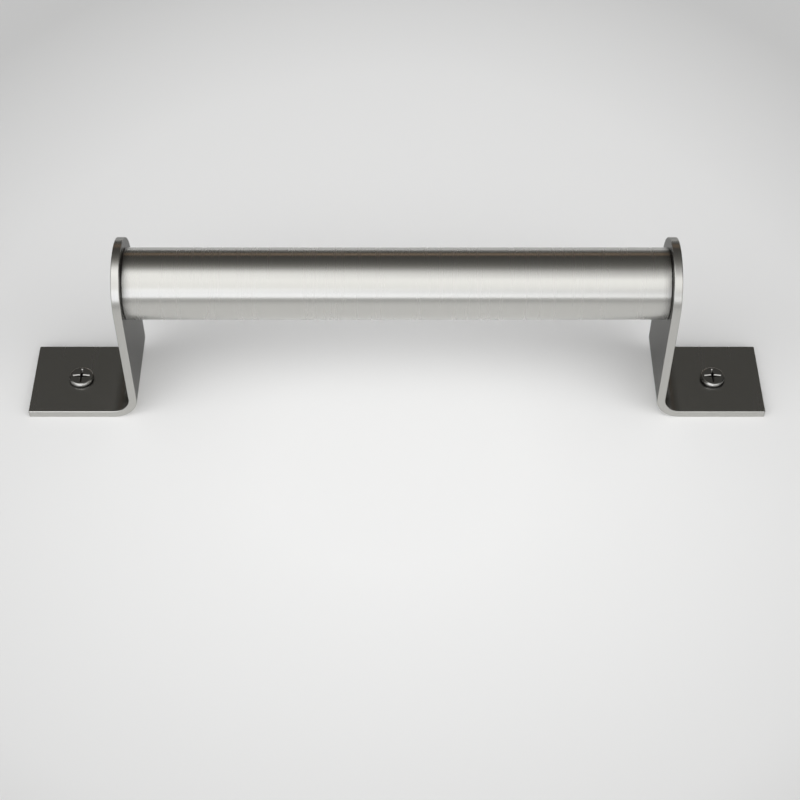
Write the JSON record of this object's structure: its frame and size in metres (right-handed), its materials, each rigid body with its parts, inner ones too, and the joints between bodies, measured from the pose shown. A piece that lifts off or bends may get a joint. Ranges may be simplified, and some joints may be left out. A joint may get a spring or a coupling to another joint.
{
  "type": "barn door handle",
  "caption": "Straight round pull bar held off a door by an outward-footed flat-bar bracket at each end, screwed down through the feet.",
  "frame": {"origin": "on the door's face, midway between the two feet and on their centreline", "axes": "+X along the grip, to the right seen from the front; +Z out of the door, away from its face; +Y across the brackets, upwards when the grip is mounted level"},
  "size_m": [0.267, 0.032, 0.096],
  "materials": {
    "grip": "satin stainless, brushed round the tube",
    "bracket": "satin stainless, brushed",
    "screw": "bright stainless",
    "plug": "turned steel, not seen"
  },
  "bodies": {
    "root": {"grip_tube": "grip", "bracket_left": "bracket", "end_plug_left": "plug", "bracket_screw_left": "screw", "mounting_screw_left": "screw", "bracket_right": "bracket", "end_plug_right": "plug", "bracket_screw_right": "screw", "mounting_screw_right": "screw"}
  },
  "joints": []
}
